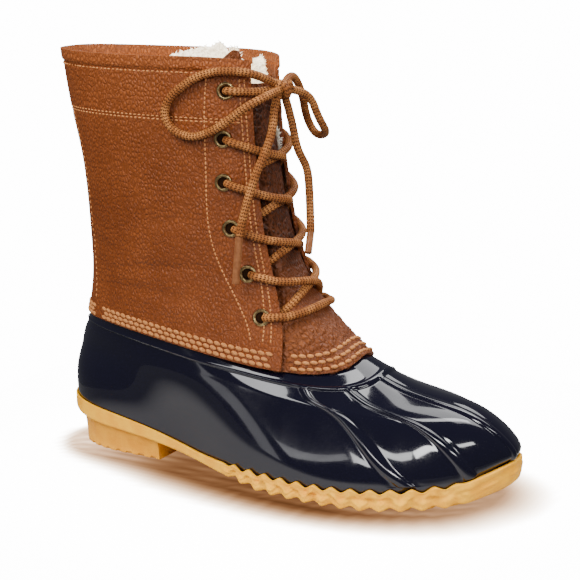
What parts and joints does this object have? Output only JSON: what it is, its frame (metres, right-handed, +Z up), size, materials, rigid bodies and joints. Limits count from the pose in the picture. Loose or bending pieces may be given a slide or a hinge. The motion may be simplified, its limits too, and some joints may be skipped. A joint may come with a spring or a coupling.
{
  "type": "lace-up duck boot",
  "caption": "Right ankle boot with a moulded rubber lower, laced leather shaft with a bow, and a gum sole with a toothed edge.",
  "frame": {"origin": "on the floor under the middle of the boot's box, without the bow", "axes": "+X from heel to toe, +Y to the inner side of the foot, +Z up"},
  "size_m": [0.2802, 0.0962, 0.2367],
  "materials": {
    "gum_sole": "matt gum rubber",
    "gum_heel": "matt gum rubber",
    "footbed": "cream fleece",
    "rubber_lower": "navy rubber with a high gloss",
    "vamp_leather": "creased tan leather",
    "shaft_leather": "pebbled tan leather",
    "eyelet_brass": "aged brass",
    "lace_braid": "round brown braid with pale flecks",
    "lace_tip": "brown sheath"
  },
  "bodies": {
    "root": {"outsole": "gum_sole", "heel": "gum_heel", "insole": "footbed", "shell": "rubber_lower", "tongue": "vamp_leather", "upper": "shaft_leather", "eyelet_lateral_1": "eyelet_brass", "eyelet_medial_1": "eyelet_brass", "eyelet_lateral_2": "eyelet_brass", "eyelet_medial_2": "eyelet_brass", "eyelet_lateral_3": "eyelet_brass", "eyelet_medial_3": "eyelet_brass", "eyelet_lateral_4": "eyelet_brass", "eyelet_medial_4": "eyelet_brass", "eyelet_lateral_5": "eyelet_brass", "eyelet_medial_5": "eyelet_brass", "eyelet_lateral_6": "eyelet_brass", "eyelet_medial_6": "eyelet_brass", "lace_bar": "lace_braid", "lace_top": "lace_braid", "lace_cross_2": "lace_braid", "lace_cross_3": "lace_braid", "lace_cross_4": "lace_braid", "lace_cross_5": "lace_braid", "lace_knot": "lace_braid", "lace_loop_lateral": "lace_braid", "lace_loop_medial": "lace_braid", "lace_end_lateral": "lace_braid", "lace_end_medial": "lace_braid", "aglet_lateral": "lace_tip", "aglet_medial": "lace_tip"}
  },
  "joints": []
}
